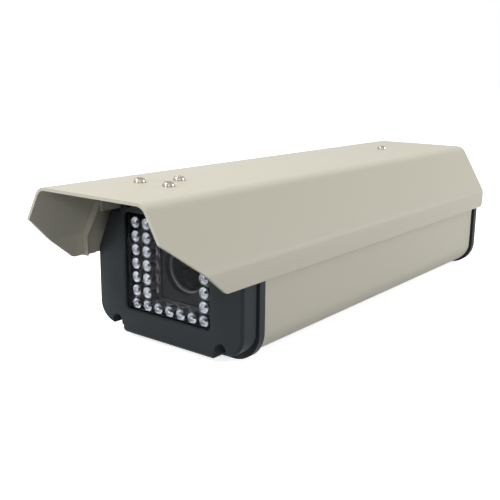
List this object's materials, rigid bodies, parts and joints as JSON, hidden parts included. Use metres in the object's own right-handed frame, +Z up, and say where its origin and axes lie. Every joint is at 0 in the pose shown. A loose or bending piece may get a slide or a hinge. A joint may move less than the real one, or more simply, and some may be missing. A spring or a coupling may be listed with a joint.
{
  "type": "security camera housing",
  "caption": "Long outdoor camera housing with a folded sunshield, a glazed infrared lamp front, an inner camera tray, a supply board and rear cable glands.",
  "frame": {"origin": "middle of the whole length and width, at the level that the front ring and the rear cap stand on", "axes": "+X across to the right of the housing seen from the front, -Y towards the glass front, +Z up to the sunshield"},
  "size_m": [0.1308, 0.4138, 0.1076],
  "materials": {
    "sunshield_paint": "satin powder coat",
    "body_paint": "satin powder coat",
    "front_paint": "satin black powder coat",
    "bracket_steel": "satin coated steel",
    "zinc_steel": "zinc plated",
    "screw_steel": "stainless steel",
    "brass": "turned",
    "seal_rubber": "matt black",
    "window_glass": "clear, lightly tinted",
    "lamp_epoxy": "clear epoxy",
    "board_black": "black solder mask",
    "board_green": "green solder mask",
    "black_plastic": "fine matt",
    "ring_plastic": "light grey, matt",
    "gland_plastic": "matt grey polyamide",
    "tray_steel": "zinc plated sheet",
    "core_steel": "varnished sheet stack",
    "winding_copper": "enamelled wire under tape",
    "can_aluminium": "sleeved can",
    "sink_aluminium": "anodised",
    "terminal_green": "moulded"
  },
  "bodies": {
    "housing": {"sunshield": "sunshield_paint", "sunshield_front_bracket": "bracket_steel", "sunshield_rear_bracket": "bracket_steel", "sunshield_stiffener_left": "bracket_steel", "sunshield_stiffener_right": "bracket_steel", "sunshield_screws": "screw_steel", "sunshield_nuts": "zinc_steel", "bracket_screws": "zinc_steel", "bracket_spacers": "zinc_steel", "body": "body_paint", "front_ring": "front_paint", "front_gasket": "seal_rubber", "front_bezel": "front_paint", "glass_seal": "seal_rubber", "front_glass": "window_glass", "glass_retainer": "zinc_steel", "bezel_screws": "screw_steel", "rear_cap_screws": "screw_steel", "lamp_board": "board_black", "infrared_lamps": "lamp_epoxy", "lamp_board_pillars": "zinc_steel", "lamp_board_screws": "zinc_steel", "lens_shroud": "black_plastic", "lens_ring": "ring_plastic", "light_sensor": "lamp_epoxy", "supply_board": "board_green", "supply_board_pillars": "brass", "supply_board_screws": "zinc_steel", "transformer_core": "core_steel", "transformer_winding": "winding_copper", "capacitors": "can_aluminium", "heat_sink": "sink_aluminium", "terminal_block": "terminal_green", "rear_gasket": "seal_rubber", "rear_cap": "front_paint", "gland_bodies": "gland_plastic", "gland_dome_nuts": "gland_plastic", "gland_seals": "seal_rubber", "entry_lock_nuts": "gland_plastic", "blanking_plug": "gland_plastic", "earth_washer": "zinc_steel", "earth_screw": "brass"},
    "tray": {"camera_tray": "tray_steel", "tray_lock_screws": "brass", "camera_screw": "zinc_steel"}
  },
  "joints": [
    {"name": "tray_slide", "type": "slide", "parent": "housing", "child": "tray", "axis": [0, 1, 0], "range_m": [-0.02, 0.02]}
  ]
}
